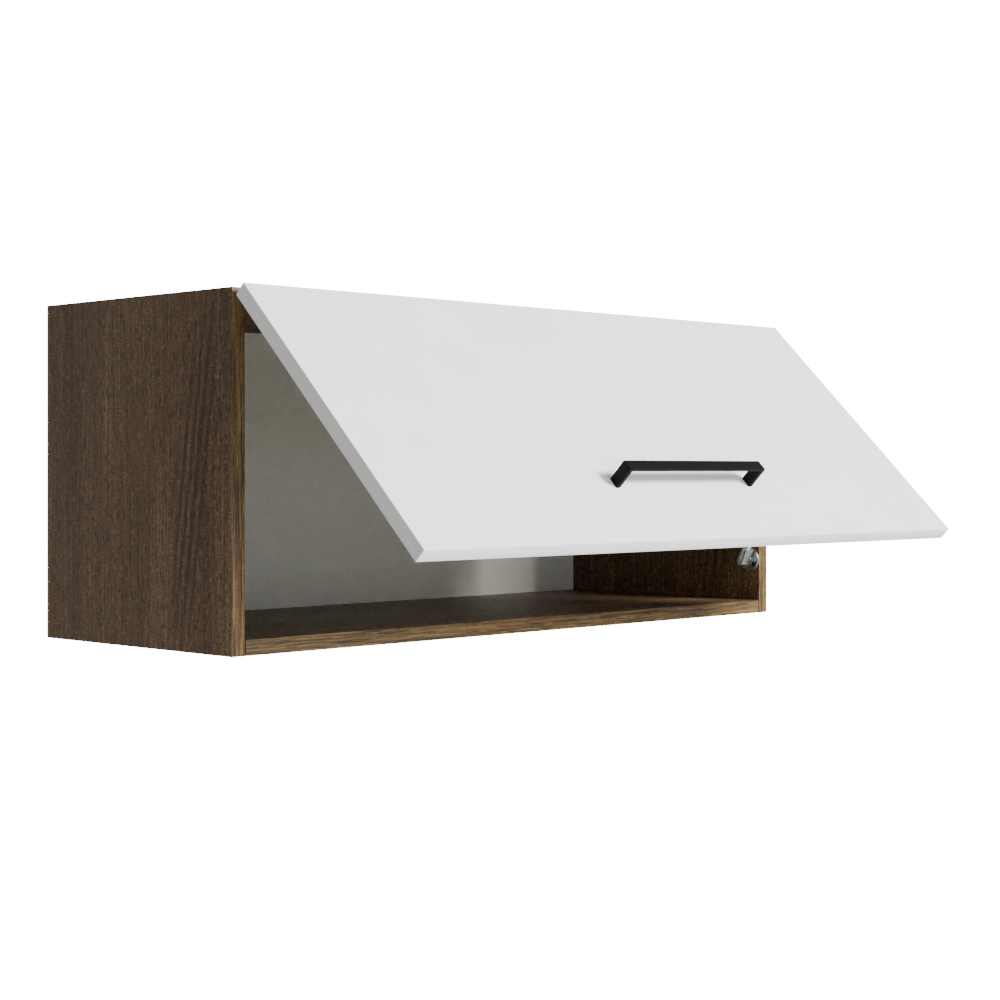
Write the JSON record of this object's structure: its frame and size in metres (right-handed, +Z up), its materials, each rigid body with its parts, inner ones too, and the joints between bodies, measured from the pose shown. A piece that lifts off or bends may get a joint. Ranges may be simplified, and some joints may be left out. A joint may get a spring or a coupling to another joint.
{
  "type": "lift up wall cabinet",
  "caption": "Low wide wall cabinet with a top-hinged lift-up door, a bar handle, concealed cup hinges and a gas strut on the right side.",
  "frame": {"origin": "centre of the rear face of the back panel, where the cabinet meets the wall", "axes": "+X to the right seen from the front, +Y towards the wall, +Z up"},
  "size_m": [0.8, 0.5514, 0.3383],
  "materials": {
    "carcass_wood": "matt dark walnut melamine board",
    "back_board": "white lacquered hardboard",
    "door_board": "satin white melamine board",
    "handle_black": "satin black",
    "hinge_nickel": "nickel plated",
    "bracket_zinc": "zinc plated",
    "cam_zinc": "bare zinc casting",
    "screw_zinc": "zinc plated",
    "screw_black": "black",
    "strut_grey": "grey painted",
    "rod_chrome": "polished",
    "seal_plastic": "black",
    "hanger_plastic": "light grey",
    "bumper_rubber": "clear soft pad"
  },
  "bodies": {
    "cabinet": {"left_side_panel": "carcass_wood", "right_side_panel": "carcass_wood", "bottom_panel": "carcass_wood", "top_panel": "carcass_wood", "back_panel": "back_board", "bottom_cam_left_front": "cam_zinc", "top_cam_left_front": "cam_zinc", "bottom_cam_left_rear": "cam_zinc", "top_cam_left_rear": "cam_zinc", "bottom_cam_right_front": "cam_zinc", "top_cam_right_front": "cam_zinc", "bottom_cam_right_rear": "cam_zinc", "top_cam_right_rear": "cam_zinc", "left_hanging_bracket": "hanger_plastic", "left_hanger_screw_upper": "screw_zinc", "left_hanger_screw_lower": "screw_zinc", "left_plate_screw_left": "screw_zinc", "left_plate_screw_right": "screw_zinc", "left_hinge_arm": "hinge_nickel", "left_hinge_plate": "hinge_nickel", "right_hanging_bracket": "hanger_plastic", "right_hanger_screw_upper": "screw_zinc", "right_hanger_screw_lower": "screw_zinc", "right_plate_screw_left": "screw_zinc", "right_plate_screw_right": "screw_zinc", "right_hinge_arm": "hinge_nickel", "right_hinge_plate": "hinge_nickel", "strut_lower_plate": "bracket_zinc", "strut_lower_stud": "bracket_zinc", "strut_plate_screw_1": "screw_black", "strut_plate_screw_2": "screw_black", "strut_plate_screw_3": "screw_black"},
    "door": {"door": "door_board", "handle": "handle_black", "handle_screw_left": "screw_zinc", "handle_screw_right": "screw_zinc", "left_hinge_cup": "hinge_nickel", "left_cup_screw_left": "screw_zinc", "left_cup_screw_right": "screw_zinc", "left_hinge_pin": "hinge_nickel", "left_door_bumper": "bumper_rubber", "right_hinge_cup": "hinge_nickel", "right_cup_screw_left": "screw_zinc", "right_cup_screw_right": "screw_zinc", "right_hinge_pin": "hinge_nickel", "right_door_bumper": "bumper_rubber", "strut_upper_bracket": "bracket_zinc", "strut_upper_stud": "bracket_zinc", "strut_bracket_screw_lower": "screw_zinc", "strut_bracket_screw_upper": "screw_zinc"},
    "strut_tube": {"strut_tube": "strut_grey", "strut_upper_fitting": "strut_grey", "strut_rod_guide": "seal_plastic"},
    "strut_rod": {"strut_rod": "rod_chrome", "strut_piston": "seal_plastic", "strut_lower_fitting": "strut_grey"},
    "left_link": {"left_hinge_link": "hinge_nickel"},
    "right_link": {"right_hinge_link": "hinge_nickel"}
  },
  "joints": [
    {"name": "door_lift", "type": "hinge", "parent": "cabinet", "child": "door", "pos_m": [0, -0.3112, 0.1646], "axis": [-1, 0, 0], "range_deg": [-45.33, 34.67]},
    {"name": "strut_swing", "type": "hinge", "parent": "door", "child": "strut_tube", "pos_m": [0.3735, -0.37032, 0.07775], "axis": [-1, 0, 0], "range_deg": [-38, 49.7]},
    {"name": "strut_extend", "type": "slide", "parent": "strut_tube", "child": "strut_rod", "axis": [0, 0.4158, -0.9095], "range_m": [-0.0567, 0.0434]},
    {"name": "left_link_swing", "type": "hinge", "parent": "door", "child": "left_link", "pos_m": [-0.3, -0.32716, 0.14433], "axis": [-1, 0, 0], "range_deg": [-22.2, 29.1]},
    {"name": "right_link_swing", "type": "hinge", "parent": "door", "child": "right_link", "pos_m": [0.3, -0.32716, 0.14433], "axis": [-1, 0, 0], "range_deg": [-22.2, 29.1]}
  ],
  "couplings": [
    {"joint": "strut_swing", "follows": "door_lift", "ratio": -1.0947},
    {"joint": "strut_extend", "follows": "door_lift", "m_per_rad": 0.0716},
    {"joint": "left_link_swing", "follows": "door_lift", "ratio": -0.64},
    {"joint": "right_link_swing", "follows": "door_lift", "ratio": -0.64}
  ]
}
